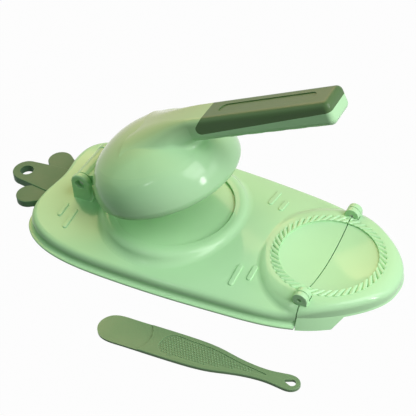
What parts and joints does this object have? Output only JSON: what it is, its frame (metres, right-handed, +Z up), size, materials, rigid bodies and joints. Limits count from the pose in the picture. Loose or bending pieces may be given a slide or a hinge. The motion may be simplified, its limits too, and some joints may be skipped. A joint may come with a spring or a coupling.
{
  "type": "dumpling maker",
  "caption": "Radish-shaped dumpling maker: hinged domed lid presses wrappers on a round seat, a folding toothed half mould seals them, with a leaf hanger and a loose filling spatula.",
  "frame": {"origin": "on the table, under the middle of the round press seat", "axes": "+X from the leaf to the tail, +Y away from the side with the spatula, +Z up"},
  "size_m": [0.3567, 0.2143, 0.1741],
  "materials": {
    "shell_green": "glossy moulded pale green plastic",
    "plate_green": "satin pale green plastic",
    "leaf_green": "satin dark olive green plastic",
    "cover_green": "satin dark green plastic",
    "spatula_green": "satin mid green plastic",
    "steel": "plain steel",
    "rubber": "grey-green soft rubber"
  },
  "bodies": {
    "base": {"base_tray": "shell_green", "leaf_hanger": "leaf_green", "leaf_screws": "steel", "lid_hinge_pin": "steel", "tail_hinge_pin_front": "steel", "tail_hinge_pin_rear": "steel", "foot_pad_nose_rear": "rubber", "foot_pad_nose_front": "rubber", "foot_pad_tail_rear": "rubber", "foot_pad_tail_front": "rubber"},
    "lid": {"press_dome": "shell_green", "press_plate": "plate_green", "press_plate_screws": "steel", "handle_cover": "cover_green", "handle_screws": "steel"},
    "flap": {"tail_flap": "shell_green"},
    "spatula": {"filling_spatula": "spatula_green"}
  },
  "joints": [
    {"name": "lid_hinge", "type": "hinge", "parent": "base", "child": "lid", "pos_m": [-0.075, 0, 0.0363], "axis": [0, -1, 0], "range_deg": [-18.8, 76]},
    {"name": "tail_hinge", "type": "hinge", "parent": "base", "child": "flap", "pos_m": [0.1362, 0, 0.023], "axis": [0, -1, 0], "range_deg": [0, 180]},
    {"name": "spatula_lift", "type": "slide", "parent": "base", "child": "spatula", "axis": [0, 0, 1], "range_m": [0, 0.1]}
  ]
}
